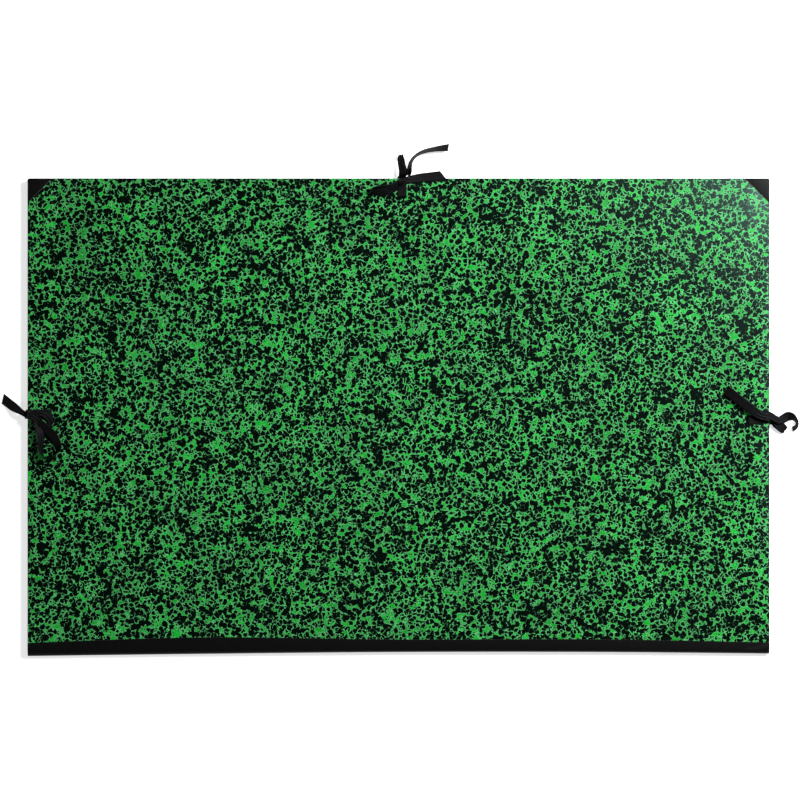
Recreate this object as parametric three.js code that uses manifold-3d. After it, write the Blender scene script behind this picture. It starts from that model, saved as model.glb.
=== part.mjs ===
// A large drawing portfolio: two boards hinged by a cloth spine and tied shut with ribbons on three sides.
// It lies flat on its back cover. The origin is on the table, under the middle of the closed portfolio.
// X runs along the spine, Y from the spine to the fore edge, Z up. Lengths are in millimetres.

import * as THREE from 'three';
import { mergeVertices } from 'three/addons/utils/BufferGeometryUtils.js';
import Module from 'manifold-3d';

const wasm = await Module();
wasm.setup();

// Overall size
const coverWidth = 1200;
const coverDepth = 762;
const fullestSpine = 11;

// Thicknesses of the layers
const standOff = 0.7;
const paperThickness = 0.3;
const boardThickness = 3;
const liningThickness = 0.3;
const filling = 6;

// Covering
const cornerRadius = 3;
const turnIn = 18;
const cornerLeg = 40;
const liningMargin = 5;
const seam = 0.3;
const hingeStrip = 25;
const hingeStripThickness = 0.3;
const spineCushion = 0.3;

// How far the spine cloth stands out beyond the boards, and how much of it the paper leaves bare,
// at places along the spine given as shares of half the width
const spineFullness = [[-1, fullestSpine], [-0.53, 7.5], [0, 4.5], [0.54, 4.5], [1, 7]];
const bareCloth = [[-1.02, 10], [-0.53, 19.5], [0, 16], [0.54, 16.3], [1.02, 11]];

// Slits for the ribbons, each given by its place along the edge and its distance from that edge
const ribbonWidth = 15;
const ribbonThickness = 0.4;
const slitLength = 16.4;
const slitWidth = 2.6;
const recessLength = 32;
const recessDepth = 1;
const leftSlitInset = 38;
const rightSlitInset = 35;
const topSlitInset = 30;
const leftSlitY = 5.4;
const rightSlitY = -4.3;
const topSlitX = 5.7;

// Worked out from the sizes above
const halfWidth = coverWidth / 2;
const foreEdge = (coverDepth + fullestSpine) / 2;
const boardEdge = foreEdge - coverDepth;
const coverThickness = paperThickness + boardThickness + liningThickness + liningThickness;
const closedThickness = 2 * coverThickness + filling;
const topFace = standOff + closedThickness;

// A cover is described from its outer face inwards. Height turns such a depth into a height above the table.
const covers = {
  back: { name: 'back', height: (depth) => standOff + depth },
  front: { name: 'front', height: (depth) => topFace - depth },
};

const finish = {
  board: { color: 0x8a8378, roughness: 0.9 },
  marbledPaper: { color: 0x1c6b35, roughness: 0.4 },
  blackCloth: { color: 0x1b1a1c, roughness: 0.75 },
  innerCloth: { color: 0x201f21, roughness: 0.85 },
  lining: { color: 0x2a2b2c, roughness: 0.8 },
  ribbon: { color: 0x101012, roughness: 0.6 },
};

function solid(geometry) {
  const bare = geometry.clone();
  bare.deleteAttribute('normal');
  bare.deleteAttribute('uv');
  const merged = mergeVertices(bare, 1e-5);
  return new wasm.Manifold(new wasm.Mesh({
    numProp: 3,
    vertProperties: new Float32Array(merged.attributes.position.array),
    triVerts: new Uint32Array(merged.index.array),
  }));
}

function piece(name, body, look) {
  const { vertProperties, triVerts } = body.getMesh();
  const geometry = new THREE.BufferGeometry();
  geometry.setAttribute('position', new THREE.BufferAttribute(new Float32Array(vertProperties), 3));
  geometry.setIndex(new THREE.BufferAttribute(new Uint32Array(triVerts), 1));
  geometry.computeVertexNormals();
  const mesh = new THREE.Mesh(geometry, new THREE.MeshStandardMaterial({ metalness: 0, ...look }));
  mesh.name = name;
  return mesh;
}

// A flat outline raised between two heights
function slab(outline, oneHeight, otherHeight) {
  const low = Math.min(oneHeight, otherHeight);
  const geometry = new THREE.ExtrudeGeometry(outline, {
    depth: Math.abs(oneHeight - otherHeight),
    bevelEnabled: false,
    curveSegments: 8,
  });
  geometry.translate(0, 0, low);
  return solid(geometry);
}

function rectangle(left, right, near, far) {
  const outline = new THREE.Shape();
  outline.moveTo(left, near);
  outline.lineTo(right, near);
  outline.lineTo(right, far);
  outline.lineTo(left, far);
  outline.closePath();
  return outline;
}

// A cover's outline, drawn in on its three free sides, with rounded corners at the fore edge
function coverOutline(inset, radius, near = boardEdge) {
  const right = halfWidth - inset;
  const far = foreEdge - inset;
  const outline = new THREE.Shape();
  outline.moveTo(-right, near);
  outline.lineTo(right, near);
  outline.lineTo(right, far - radius);
  outline.absarc(right - radius, far - radius, radius, 0, Math.PI / 2, false);
  outline.lineTo(-right + radius, far);
  outline.absarc(-right + radius, far - radius, radius, Math.PI / 2, Math.PI, false);
  outline.closePath();
  return outline;
}

// A smooth value along the spine, from a few stations
function alongSpine(stations) {
  const curve = new THREE.SplineCurve(stations.map(([share, value]) => new THREE.Vector2(share * halfWidth, value)));
  return curve.getPoints(40);
}

function valueAt(points, x) {
  const next = Math.max(1, points.findIndex((point) => point.x >= x));
  const [from, to] = [points[next - 1], points[next]];
  return from.y + (to.y - from.y) * (x - from.x) / (to.x - from.x);
}

const fullness = alongSpine(spineFullness);
const bareWidth = alongSpine(bareCloth);

// The part of a cover on the spine's side of the paper's edge
function spineSide(gap) {
  const outline = new THREE.Shape();
  outline.moveTo(-coverWidth, -coverWidth);
  outline.lineTo(coverWidth, -coverWidth);
  outline.lineTo(coverWidth, boardEdge + bareWidth.at(-1).y + gap);
  for (const point of bareWidth.toReversed()) outline.lineTo(point.x, boardEdge + point.y + gap);
  outline.lineTo(-coverWidth, boardEdge + bareWidth[0].y + gap);
  outline.closePath();
  return slab(outline, -closedThickness, 2 * closedThickness);
}

// The part of a cover beyond the slanting line across one corner
function cornerSide(side, gap) {
  const reach = cornerLeg - gap * Math.SQRT2;
  const outline = new THREE.Shape();
  outline.moveTo(side * (halfWidth - reach), foreEdge);
  outline.lineTo(side * (halfWidth - reach), foreEdge + cornerLeg);
  outline.lineTo(side * (halfWidth + cornerLeg), foreEdge + cornerLeg);
  outline.lineTo(side * (halfWidth + cornerLeg), foreEdge - reach);
  outline.lineTo(side * halfWidth, foreEdge - reach);
  outline.closePath();
  return slab(outline, -closedThickness, 2 * closedThickness);
}

// Slits, from the cover's face through the board
const slits = {
  left: { x: -halfWidth + leftSlitInset, y: leftSlitY, inward: [1, 0] },
  top: { x: topSlitX, y: foreEdge - topSlitInset, inward: [0, -1] },
  right: { x: halfWidth - rightSlitInset, y: rightSlitY, inward: [-1, 0] },
};

function slitHole({ x, y, inward }, cover) {
  const [alongX, alongY] = inward.map(Math.abs);
  const halfX = (alongX * slitWidth + alongY * slitLength) / 2;
  const halfY = (alongY * slitWidth + alongX * slitLength) / 2;
  const through = paperThickness + boardThickness;
  return slab(rectangle(x - halfX, x + halfX, y - halfY, y + halfY), cover.height(-1), cover.height(through + 1));
}

// The recess in the board's inner face where a ribbon's end is glued down
function glueRecess({ x, y, inward }, cover) {
  const [inX, inY] = inward;
  const endX = x + inX * recessLength;
  const endY = y + inY * recessLength;
  const sideX = (Math.abs(inY) * slitLength) / 2;
  const sideY = (Math.abs(inX) * slitLength) / 2;
  const outline = rectangle(
    Math.min(x, endX) - sideX,
    Math.max(x, endX) + sideX,
    Math.min(y, endY) - sideY,
    Math.max(y, endY) + sideY,
  );
  const inner = paperThickness + boardThickness;
  return slab(outline, cover.height(inner - recessDepth), cover.height(inner + 1));
}

function cutSlits(body, cover) {
  return Object.values(slits).reduce((rest, slit) => rest.subtract(slitHole(slit, cover)), body);
}

// The whole covering of one board: its outer face, three edges and the strip turned in
function jacket(cover) {
  const depth = paperThickness + boardThickness;
  const block = slab(coverOutline(0, cornerRadius + paperThickness), cover.height(0), cover.height(depth + paperThickness));
  const core = slab(
    coverOutline(paperThickness, cornerRadius, boardEdge - 1),
    cover.height(paperThickness),
    cover.height(depth),
  );
  const window = slab(
    coverOutline(turnIn, 0.5, boardEdge - 1),
    cover.height(depth - 1),
    cover.height(depth + paperThickness + 1),
  );
  return block.subtract(core).subtract(window);
}

function board(cover) {
  const outline = coverOutline(paperThickness, cornerRadius + paperThickness);
  const blank = slab(outline, cover.height(paperThickness), cover.height(paperThickness + boardThickness));
  const cut = Object.values(slits).reduce((rest, slit) => rest.subtract(glueRecess(slit, cover)), cutSlits(blank, cover));
  return piece(`${cover.name}_board`, cut, finish.board);
}

function coverPaper(cover) {
  const sheet = [-1, 1].reduce(
    (rest, side) => rest.subtract(cornerSide(side, 0)),
    cutSlits(jacket(cover), cover).subtract(spineSide(seam)),
  );
  return piece(`${cover.name}_cover_paper`, sheet, finish.marbledPaper);
}

function cornerCloth(cover, side) {
  const cloth = jacket(cover).intersect(cornerSide(side, seam));
  return piece(`${cover.name}_corner_${side < 0 ? 'left' : 'right'}`, cloth, finish.blackCloth);
}

// The pasted lining lies on the board and steps up over the turned-in strip
function lining(cover) {
  const depth = paperThickness + boardThickness;
  const near = boardEdge + hingeStrip + seam;
  const sheet = slab(
    rectangle(-halfWidth + liningMargin, halfWidth - liningMargin, near, foreEdge - liningMargin),
    cover.height(depth),
    cover.height(depth + 2 * liningThickness),
  );
  return piece(`${cover.name}_lining`, sheet.subtract(jacket(cover)), finish.lining);
}

// A closed skin over a row of outlines that all have the same number of points
function skin(outlines, capOutline) {
  const count = outlines[0].length;
  const places = outlines.flat().flatMap((point) => point.toArray());
  const faces = [];
  for (let ring = 0; ring < outlines.length - 1; ring += 1) {
    for (let index = 0; index < count; index += 1) {
      const next = (index + 1) % count;
      const [a, b] = [ring * count + index, ring * count + next];
      faces.push(a, b, b + count, a, b + count, a + count);
    }
  }
  const last = (outlines.length - 1) * count;
  for (const [a, b, c] of THREE.ShapeUtils.triangulateShape(capOutline, [])) {
    faces.push(a, c, b, last + a, last + b, last + c);
  }
  const geometry = new THREE.BufferGeometry();
  geometry.setAttribute('position', new THREE.Float32BufferAttribute(places, 3));
  geometry.setIndex(faces);
  return solid(geometry);
}

// A strip of cloth bent round the spine, with a leg on each board. Deep is how far inside the covers' outer
// faces its outer side lies, and its fold stands out as far as the fullness there, less drawnIn.
function spineStrip(deep, thickness, leg, drawnIn, reach) {
  const foldSteps = 16;
  const middle = standOff + closedThickness / 2;
  const outerRise = closedThickness / 2 - deep;
  const section = (full) => {
    const bend = (bulge, rise, angle) => [boardEdge - bulge * Math.cos(angle), middle + rise * Math.sin(angle)];
    const angles = Array.from({ length: foldSteps + 1 }, (_, step) => Math.PI * (step / foldSteps - 0.5));
    const outer = angles.map((angle) => bend(full, outerRise, angle));
    const inner = angles.toReversed().map((angle) => bend(full - thickness, outerRise - thickness, angle));
    return [
      [boardEdge + leg, middle - outerRise],
      ...outer,
      [boardEdge + leg, middle + outerRise],
      [boardEdge + leg, middle + outerRise - thickness],
      ...inner,
      [boardEdge + leg, middle - outerRise + thickness],
    ].reverse();
  };
  const steps = 24;
  const stations = Array.from({ length: steps + 1 }, (_, step) => reach * (2 * step / steps - 1));
  const outlines = stations.map((x) => section(valueAt(fullness, x) - drawnIn)
    .map(([y, z]) => new THREE.Vector3(x, y, z)));
  return skin(outlines, outlines[0].map((point) => new THREE.Vector2(point.y, point.z)));
}

function spineCloth() {
  const onBoards = Object.values(covers)
    .map((cover) => cutSlits(jacket(cover), cover).intersect(spineSide(0)));
  const fold = spineStrip(0, paperThickness, 1, 0, halfWidth);
  return piece('spine_cloth', onBoards.reduce((rest, part) => rest.add(part), fold), finish.blackCloth);
}

function spineLining() {
  const deep = paperThickness + boardThickness;
  const reach = halfWidth - turnIn - seam;
  const strip = spineStrip(deep, hingeStripThickness, hingeStrip, paperThickness + spineCushion, reach);
  return piece('spine_lining', strip, finish.innerCloth);
}

// Each ribbon's route is chosen by hand, from the middle of its slit and up from the table: a place, the
// direction of its width there, and how much of the width is left where it is gathered in the knot.
const ribbonRoutes = {
  // Through the slit, to the knot on the edge, round the knot, out into the hanging loop and back, and the tail
  front_ribbon_left: [
    [29, 0, 11.7, 0, 1, 0, 1],
    [12, 0, 11.7, 0, 1, 0, 1],
    [4, 0, 11.7, 0, 1, 0, 1],
    [1.4, 0, 11.7, 0, 1, 0, 1],
    [0, 0, 12.8, 0, 1, 0, 1],
    [-0.2, 0, 14.4, 0, 1, 0, 1],
    [-2, 0, 15.1, 0, 1, 0, 1],
    [-12, 0, 15, 0, 1, 0, 1],
    [-24, -0.4, 15.2, 0, 1, 0, 0.95],
    [-34, -0.8, 15.6, 0.05, 1, 0, 0.9],
    [-38.5, -1.2, 18.5, 0.1, 1, 0, 0.85],
    [-35, -2.4, 22, 0.1, 1, 0, 0.8],
    [-27, -5.4, 22.5, 0.4, 1, 0, 0.75],
    [-19, -13, 21.5, 0.75, 0.65, 0.2, 0.85],
    [-9, -22.5, 21, 0.7, 0.65, 0.3, 1],
    [1.5, -32, 20.5, 0.78, 0.58, 0.3, 1],
    [8.5, -43, 20.5, 0.9, 0.35, 0.4, 1],
    [12.2, -54.5, 21.5, 0.8, 0.1, 0.7, 1],
    [10.5, -63.5, 22.3, 0.25, 0.2, 1, 1],
    [4.5, -69.7, 22.3, -0.1, 0.25, 1, 1],
    [-4, -71.4, 22.3, -0.1, 0.2, 1, 1],
    [-12.5, -67.4, 22.3, -0.25, 0.1, 1, 1],
    [-16, -57.4, 22.3, -0.45, 0, 0.9, 1],
    [-15.7, -43.4, 22.3, -0.6, 0, 0.8, 1],
    [-17.2, -28.4, 22.3, -0.8, 0.1, 0.6, 1],
    [-22.5, -15.4, 20.5, -0.8, 0.4, 0.4, 0.8],
    [-27, -7.9, 18.4, -0.9, 0.4, 0.2, 0.7],
    [-26, -0.9, 18.4, -0.7, 0.7, 0.1, 0.65],
    [-18.5, 1.6, 17.8, -0.3, 1, 0.1, 0.7],
    [-9, -1.4, 16.6, 0.4, 1, 0, 0.8],
    [-1.5, -9.4, 15.4, 0.75, 0.65, 0, 0.9],
    [1.5, -17.5, 14.95, 0.95, 0.3, 0, 0.9],
  ],
  // Under the cover, up past the edge and out to the tail, which droops on to the table
  back_ribbon_left: [
    [29, 0, 3.5, 0, 1, 0, 1],
    [12, 0, 3.5, 0, 1, 0, 1],
    [4, 0, 3.5, 0, 1, 0, 1],
    [1.4, 0, 3.4, 0, 1, 0, 1],
    [0, 0, 2.2, 0, 1, 0, 1],
    [0, 0, 0.95, 0, 1, 0, 1],
    [-1, 0, 0.42, 0, 1, 0, 1],
    [-3, 0, 0.34, 0, 1, 0, 1],
    [-8, 0, 0.32, 0, 1, 0, 1],
    [-18, 0, 0.3, 0, 1, 0, 1],
    [-34, 0, 0.3, 0, 1, 0, 1],
    [-38.6, -0.2, 0.4, 0, 1, 0, 1],
    [-40.6, -0.4, 1, 0.05, 1, 0, 1],
    [-42, -0.8, 5, 0.1, 1, 0, 0.95],
    [-41.6, -0.6, 10, 0.2, 1, 0, 0.75],
    [-43.6, 0.6, 13.6, 0.3, 1, -0.2, 0.6],
    [-49, 3.6, 12.8, 0.45, 0.9, -0.3, 0.65],
    [-55, 7.3, 9.5, 0.5, 0.85, -0.2, 0.85],
    [-62, 12, 6, 0.5, 0.85, -0.1, 1],
    [-70, 17.8, 2.8, 0.5, 0.85, 0, 1],
    [-79.2, 25, 0.8, 0.35, 0.95, 0, 1],
  ],
  // Through the slit, to the knot, round it, the loop lying to the left and back, and the tail along the edge
  front_ribbon_top: [
    [0, -29.5, 11.7, 1, 0, 0, 1],
    [0, -12.5, 11.7, 1, 0, 0, 1],
    [0, -4.1, 11.7, 1, 0, 0, 1],
    [0, -1.5, 11.7, 1, 0, 0, 1],
    [0, 0, 12.8, 1, 0, 0, 1],
    [0, 0.2, 14.4, 1, 0, 0, 1],
    [0, 2, 15.1, 1, 0, 0, 1],
    [0, 9.5, 15, 1, 0, 0, 1],
    [0.2, 17.5, 15.2, 1, 0, 0, 0.95],
    [0.8, 26, 15.8, 1, 0, 0, 0.9],
    [1.3, 30, 19, 1, 0.1, 0, 0.85],
    [0.3, 26, 22.6, 1, 0.3, 0, 0.8],
    [-5.7, 20.5, 23, 0.6, 0.8, 0, 0.75],
    [-15.7, 16, 22, 0.2, 1, 0.4, 0.8],
    [-27.7, 13.2, 21.6, 0.1, 1, 0.8, 0.9],
    [-38.7, 12.2, 21.6, 0, 1, 0.9, 0.95],
    [-46, 10.6, 21.8, 0, 0.9, 0.9, 0.85],
    [-48.6, 8.4, 21.4, 0.2, 0.7, 0.9, 0.7],
    [-45, 6.8, 20.9, 0, 0.7, 0.9, 0.85],
    [-35.7, 6.8, 20.6, -0.1, 0.8, 0.8, 0.95],
    [-22.7, 9, 18.9, -0.2, 0.9, 0.5, 0.85],
    [-11.7, 14, 18, -0.3, 0.9, 0.2, 0.75],
    [-2.7, 20.5, 18.4, -0.4, 1, 0, 0.7],
    [6.3, 26, 18, -0.3, 1, 0, 0.75],
    [16.3, 28.6, 16.8, -0.15, 1, 0, 0.85],
    [30.3, 30.9, 15.9, -0.1, 1, 0, 0.95],
    [46.3, 32.8, 15.5, -0.08, 1, 0, 0.95],
    [66.8, 35.2, 15.3, -0.08, 1, 0, 0.95],
  ],
  // Under the cover, up past the edge, out into the standing loop and back, and the long tail to the right
  back_ribbon_top: [
    [0, -29.5, 3.5, 1, 0, 0, 1],
    [0, -12.5, 3.5, 1, 0, 0, 1],
    [0, -4.1, 3.5, 1, 0, 0, 1],
    [0, -1.5, 3.4, 1, 0, 0, 1],
    [0, 0, 2.2, 1, 0, 0, 1],
    [0, 0.1, 0.95, 1, 0, 0, 1],
    [0, 1, 0.42, 1, 0, 0, 1],
    [0, 3, 0.34, 1, 0, 0, 1],
    [0, 8, 0.32, 1, 0, 0, 1],
    [0, 13.5, 0.3, 1, 0, 0, 1],
    [0, 25.5, 0.3, 1, 0, 0, 1],
    [0, 30.5, 0.4, 1, 0, 0, 1],
    [0, 32.5, 1, 1, 0, 0, 0.95],
    [0.2, 34.1, 4.5, 1, 0, 0, 0.85],
    [0.4, 34.5, 9, 1, 0, 0.1, 0.75],
    [0.4, 37.3, 12.4, 1, 0.1, 0.3, 0.75],
    [0, 44.5, 13, 0.8, 0.2, 0.5, 0.8],
    [-1.5, 54.5, 12.2, 0.75, 0.2, 0.6, 0.85],
    [-2.5, 62.5, 11, 0.75, 0.1, 0.65, 0.85],
    [-1.6, 68.4, 8.8, 0.75, 0.1, 0.7, 0.55],
    [-0.7, 62.5, 6.8, 0.75, -0.1, 0.6, 0.85],
    [0.6, 54.5, 6, 0.75, -0.1, 0.6, 0.85],
    [3.2, 45.5, 5.8, 0.8, -0.1, 0.5, 0.75],
    [6.4, 39.4, 6, 0.8, -0.2, 0.4, 0.6],
    [9.6, 37, 7.2, 0.8, -0.3, 0.5, 0.55],
    [11.4, 41, 8.2, 0.7, -0.1, 0.7, 0.7],
    [12.2, 48, 8, 0.5, -0.05, 0.87, 0.95],
    [15, 58, 7.8, 0.34, -0.14, 0.94, 1],
    [23, 67.4, 7.8, 0.24, -0.28, 0.94, 1],
    [34.8, 73.6, 7.6, 0.17, -0.42, 0.9, 1],
    [53.3, 77.7, 6.8, 0.1, -0.56, 0.83, 1],
    [75.3, 80.2, 5, 0.15, -0.8, 0.58, 1],
  ],
  // Through the slit, to the knot, round it, the long loop over the cover and back, and the hooked tail outside
  front_ribbon_right: [
    [-29, 0, 11.7, 0, 1, 0, 1],
    [-12, 0, 11.7, 0, 1, 0, 1],
    [-4, 0, 11.7, 0, 1, 0, 1],
    [-1.4, 0, 11.7, 0, 1, 0, 1],
    [0, 0, 12.8, 0, 1, 0, 1],
    [0.2, 0, 14.4, 0, 1, 0, 1],
    [2, 0, 15.1, 0, 1, 0, 1],
    [11, 0, 15, 0, 1, 0, 1],
    [21, 0.3, 15.2, 0, 1, 0, 0.95],
    [30.5, 1.3, 15.8, -0.1, 1, 0, 0.9],
    [34.5, 2.8, 19, -0.2, 1, 0, 0.85],
    [30.5, 4.8, 22.6, -0.3, 1, 0, 0.8],
    [22, 6.8, 23.2, 0.2, 1, 0, 0.8],
    [12.5, 12.3, 23, 0.5, 0.85, 0.1, 0.95],
    [1, 20.8, 23.2, 0.6, 0.8, 0.15, 1],
    [-13, 31.3, 23.4, 0.6, 0.8, 0.2, 1],
    [-26.5, 42, 22.4, 0.58, 0.8, 0.25, 1],
    [-34, 47.7, 19.6, 0.5, 0.85, 0.2, 1],
    [-35, 48.1, 16.4, 0.5, 0.85, 0.1, 1],
    [-26.5, 41.5, 15.3, 0.58, 0.8, 0, 1],
    [-13, 30.8, 15.2, 0.6, 0.8, 0, 1],
    [0, 20.8, 15.6, 0.55, 0.85, 0, 0.9],
    [11.5, 13.3, 17.4, 0.4, 0.9, 0, 0.75],
    [22, 9.3, 19, 0.2, 1, 0, 0.7],
    [31, 8.9, 19, -0.2, 1, 0, 0.75],
    [38.5, 5.4, 17, -0.35, 0.95, 0, 0.8],
    [45.5, 1.6, 14.2, -0.45, 0.9, 0, 0.75],
    [51.5, -0.4, 12, -0.5, 0.85, 0.05, 0.8],
    [57.5, 1.9, 10.8, -0.5, 0.8, 0.1, 0.95],
    [64.5, 5.9, 9.8, -0.25, 0.95, 0.2, 1],
    [71, 5, 8.6, 0.3, 0.85, 0.5, 1],
    [77, 1, 7.8, 0.4, 0.3, 0.9, 0.95],
    [80.3, -5, 7.6, 0.3, 0, 1, 0.95],
    [78.4, -11.3, 7.3, 0.25, -0.3, 0.92, 0.95],
    [72.6, -15, 6.4, 0.1, -0.6, 0.78, 0.95],
  ],
  // Under the cover, up past the edge, out into the small loop and back
  back_ribbon_right: [
    [-29, 0, 3.5, 0, 1, 0, 1],
    [-12, 0, 3.5, 0, 1, 0, 1],
    [-4, 0, 3.5, 0, 1, 0, 1],
    [-1.4, 0, 3.4, 0, 1, 0, 1],
    [0, 0, 2.2, 0, 1, 0, 1],
    [0, 0, 0.95, 0, 1, 0, 1],
    [1, 0, 0.42, 0, 1, 0, 1],
    [3, 0, 0.34, 0, 1, 0, 1],
    [8, 0, 0.32, 0, 1, 0, 1],
    [15, 0, 0.3, 0, 1, 0, 1],
    [29, -0.2, 0.3, 0, 1, 0, 1],
    [35.6, -0.4, 0.4, 0, 1, 0, 1],
    [37.6, -0.5, 1, 0, 1, 0, 0.95],
    [39.2, -1.1, 4, 0, 1, 0, 0.85],
    [41.2, -2.3, 8, 0.3, 1, 0, 0.75],
    [46.5, -5.6, 9, 0.5, 0.85, 0, 0.85],
    [52.5, -9.7, 8.2, 0.6, 0.8, 0, 1],
    [58, -14.1, 7, 0.62, 0.78, 0, 1],
    [61.6, -17.1, 4.6, 0.62, 0.78, 0, 0.7],
    [59.4, -15.6, 1.7, 0.62, 0.78, 0, 0.95],
    [54, -11.5, 0.8, 0.6, 0.8, 0, 1],
    [47.5, -7.5, 0.8, 0.55, 0.85, 0, 0.85],
    [42.2, -4.7, 1, 0.4, 0.9, 0, 0.7],
  ],
};

// A flat ribbon along its route, with its ends cut square to it
function ribbon(name, slit, route) {
  const stepsPerPlace = 3;
  const places = route.map(([x, y, z]) => new THREE.Vector3(x, y, z));
  const curve = new THREE.CatmullRomCurve3(places, false, 'centripetal');
  const stepCount = (route.length - 1) * stepsPerPlace;
  const outlines = Array.from({ length: stepCount + 1 }, (_, step) => {
    const share = step / stepCount;
    const index = Math.min(Math.floor(step / stepsPerPlace), route.length - 2);
    const blend = step / stepsPerPlace - index;
    const [from, to] = [route[index], route[index + 1]];
    const mixed = from.map((value, column) => value + (to[column] - value) * blend);
    const along = curve.getTangent(share);
    const across = new THREE.Vector3(mixed[3], mixed[4], mixed[5]).normalize();
    across.addScaledVector(along, -across.dot(along)).normalize();
    const facing = along.clone().cross(across);
    const centre = curve.getPoint(share);
    const half = (ribbonWidth * mixed[6]) / 2;
    return [[-1, -1], [1, -1], [1, 1], [-1, 1]].map(([side, face]) => centre.clone()
      .addScaledVector(across, side * half)
      .addScaledVector(facing, face * ribbonThickness / 2));
  });
  const cap = [[-1, -1], [1, -1], [1, 1], [-1, 1]].map(([x, y]) => new THREE.Vector2(x, y));
  const strip = piece(name, skin(outlines, cap), finish.ribbon);
  strip.position.set(slit.x, slit.y, 0);
  return strip;
}

const portfolio = new THREE.Group();
for (const cover of Object.values(covers)) {
  portfolio.add(board(cover), coverPaper(cover), lining(cover));
  portfolio.add(cornerCloth(cover, -1), cornerCloth(cover, 1));
}
portfolio.add(spineCloth(), spineLining());
for (const [name, route] of Object.entries(ribbonRoutes)) {
  portfolio.add(ribbon(name, slits[name.split('_').at(-1)], route));
}

export default portfolio;
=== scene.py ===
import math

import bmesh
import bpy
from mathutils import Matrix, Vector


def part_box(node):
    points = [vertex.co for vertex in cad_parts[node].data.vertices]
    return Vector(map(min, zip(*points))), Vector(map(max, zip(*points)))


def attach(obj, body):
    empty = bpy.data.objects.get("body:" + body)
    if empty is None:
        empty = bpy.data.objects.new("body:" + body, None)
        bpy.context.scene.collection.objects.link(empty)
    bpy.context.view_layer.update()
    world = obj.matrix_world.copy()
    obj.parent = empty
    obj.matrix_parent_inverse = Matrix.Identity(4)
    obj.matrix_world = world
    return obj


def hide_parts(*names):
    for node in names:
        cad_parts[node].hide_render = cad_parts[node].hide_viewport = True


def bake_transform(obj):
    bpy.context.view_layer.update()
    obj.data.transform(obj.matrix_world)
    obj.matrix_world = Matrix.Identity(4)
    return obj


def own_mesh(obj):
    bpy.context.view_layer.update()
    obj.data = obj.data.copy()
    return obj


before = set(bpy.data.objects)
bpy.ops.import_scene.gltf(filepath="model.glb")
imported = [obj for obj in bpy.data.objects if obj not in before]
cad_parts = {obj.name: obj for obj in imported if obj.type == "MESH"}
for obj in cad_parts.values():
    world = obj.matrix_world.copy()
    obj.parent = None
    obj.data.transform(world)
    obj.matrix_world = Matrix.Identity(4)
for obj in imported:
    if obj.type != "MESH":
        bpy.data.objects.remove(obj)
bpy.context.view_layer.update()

# %% [markdown]
# This file dresses a large drawing portfolio: two greyboard covers in green marbled paper, hinged by a
# black cloth spine, with cloth corners and black ribbons tied in bows on three sides. It lies flat on its
# back cover and the camera looks straight down on it. The frame that was just loaded holds the real
# pieces, and nothing in it is moved. The first step is to collect the imports and the few sizes that
# every later step shares, all in metres.

MM = 0.001
FRONT = "front_cover"
BACK = "back_cover"
HALF_WIDTH, FORE_EDGE, TOP_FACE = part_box("front_cover_paper")[1]

# %% [markdown]
# The photograph is taken from straight above with no visible convergence, so a long lens from far away
# fits it. The photograph's frame is 800 pixels across, of which the covers take 742, so it shows 1.294 m.
# The middle of the portfolio lies a little below the middle of the frame, so the camera stands a little
# beyond it instead of being shifted.

# %% Camera
FRAME_PIXELS = 800
COVER_PIXELS = 742
PIXEL = 2 * HALF_WIDTH / COVER_PIXELS
PORTFOLIO_MIDDLE = (398.5, 417.35)
LENS = 200
SENSOR = 36
CLIP_END = 50

camera_data = bpy.data.cameras.new("camera")
camera_data.lens = LENS
camera_data.sensor_width = SENSOR
camera_data.clip_end = CLIP_END
camera = bpy.data.objects.new("camera", camera_data)
bpy.context.scene.collection.objects.link(camera)
camera_distance = FRAME_PIXELS * PIXEL * LENS / SENSOR
camera.location = (
    (FRAME_PIXELS / 2 - PORTFOLIO_MIDDLE[0]) * PIXEL,
    (PORTFOLIO_MIDDLE[1] - FRAME_PIXELS / 2) * PIXEL,
    TOP_FACE + camera_distance,
)
bpy.context.scene.camera = camera
print("camera", [round(value, 4) for value in camera.location])

# %% [markdown]
# The ribbons come next. A ribbon is a flat woven tape, 15 mm wide, and its whole shape follows from the
# line that it takes: out of its slit, to the knot on the cover's edge, round the knot, out into a loop and
# back, and away in a tail. Each route is a list of places along that line, measured from the middle of the
# slit and up from the table. Beside each place stand the direction of the ribbon's width there and how
# much of the width is left where the knot gathers it. The slits' own places are measured from the cover's
# middle and its nearest edge.

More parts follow.
